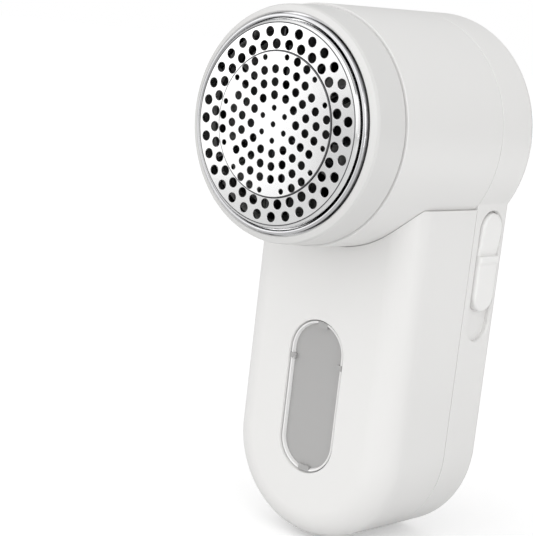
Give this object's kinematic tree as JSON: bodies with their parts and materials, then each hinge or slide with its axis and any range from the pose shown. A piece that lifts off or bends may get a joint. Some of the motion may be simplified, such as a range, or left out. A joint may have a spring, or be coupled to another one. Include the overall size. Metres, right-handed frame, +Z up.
{
  "type": "fabric shaver",
  "caption": "Hand-held fabric shaver: round perforated foil head with a spinning blade disc, sliding lint bin with an oval window, and a side slide switch.",
  "frame": {"origin": "on the flat back of the rear cover, where the axis of the cutting head meets it", "axes": "+Y out of the flat back, so the foil faces -Y; +Z up, with the handle hanging towards -Z; +X towards the side with the slide switch"},
  "size_m": [0.0576, 0.0636, 0.1296],
  "materials": {
    "white_plastic": "white moulded ABS, satin gloss",
    "carrier_plastic": "white moulded plastic, matt",
    "knob_plastic": "brighter white moulded plastic, matt",
    "clear_plastic": "clear moulded plastic",
    "foil_steel": "thin stainless sheet, polished",
    "blade_steel": "stainless strip",
    "chrome_rim": "bright chrome",
    "zinc_plate": "zinc-plated steel sheet",
    "nickel_plate": "nickel-plated steel",
    "brass": "plain brass",
    "black_plastic": "black moulded plastic",
    "cell_wrap": "cell in blue shrink wrap",
    "board_green": "green circuit board",
    "red_lead": "red insulation",
    "black_lead": "black insulation"
  },
  "bodies": {
    "case": {"battery_cell": "cell_wrap", "battery_tab_minus": "nickel_plate", "battery_tab_plus": "nickel_plate", "case_screw_1": "nickel_plate", "case_screw_2": "nickel_plate", "case_screw_3": "nickel_plate", "case_screw_4": "nickel_plate", "charge_board": "board_green", "charge_chip": "black_plastic", "charge_socket": "nickel_plate", "front_housing": "white_plastic", "lead_board_motor": "black_lead", "lead_cell_board": "black_lead", "lead_cell_switch": "red_lead", "lead_switch_motor": "red_lead", "motor_bush": "brass", "motor_can": "zinc_plate", "motor_end_cap": "carrier_plastic", "motor_screw_1": "nickel_plate", "motor_screw_2": "nickel_plate", "motor_terminal_left": "brass", "motor_terminal_right": "brass", "rear_cover": "white_plastic", "switch_body": "zinc_plate"},
    "head_cap": {"locking_ring": "white_plastic", "foil_rim": "chrome_rim", "foil": "foil_steel"},
    "rotor": {"motor_shaft": "blade_steel", "drive_hub": "black_plastic", "blade_spring": "nickel_plate"},
    "blade_disc": {"blade_carrier": "carrier_plastic", "blade_1": "blade_steel", "blade_2": "blade_steel", "blade_3": "blade_steel", "blade_4": "blade_steel", "blade_5": "blade_steel", "blade_6": "blade_steel"},
    "bin": {"lint_bin": "white_plastic", "bin_window": "clear_plastic"},
    "switch": {"switch_knob": "knob_plastic", "switch_actuator": "black_plastic"}
  },
  "joints": [
    {"name": "blade_spin", "type": "hinge", "parent": "case", "child": "rotor", "pos_m": [0, -0.04, 0], "axis": [0, -1, 0], "continuous": true},
    {"name": "blade_float", "type": "slide", "parent": "rotor", "child": "blade_disc", "axis": [0, 1, 0], "range_m": [0, 0.0008], "stiffness_N_per_m": 400, "springref_m": -0.004, "deforming": ["blade_spring"]},
    {"name": "ring_turn", "type": "hinge", "parent": "case", "child": "head_cap", "pos_m": [0, -0.056, 0], "axis": [0, -1, 0], "range_deg": [0, 20]},
    {"name": "bin_slide", "type": "slide", "parent": "case", "child": "bin", "axis": [0, 0, -1], "range_m": [0, 0.056]},
    {"name": "switch_slide", "type": "slide", "parent": "case", "child": "switch", "axis": [0, 0, -1], "range_m": [0, 0.007]}
  ]
}
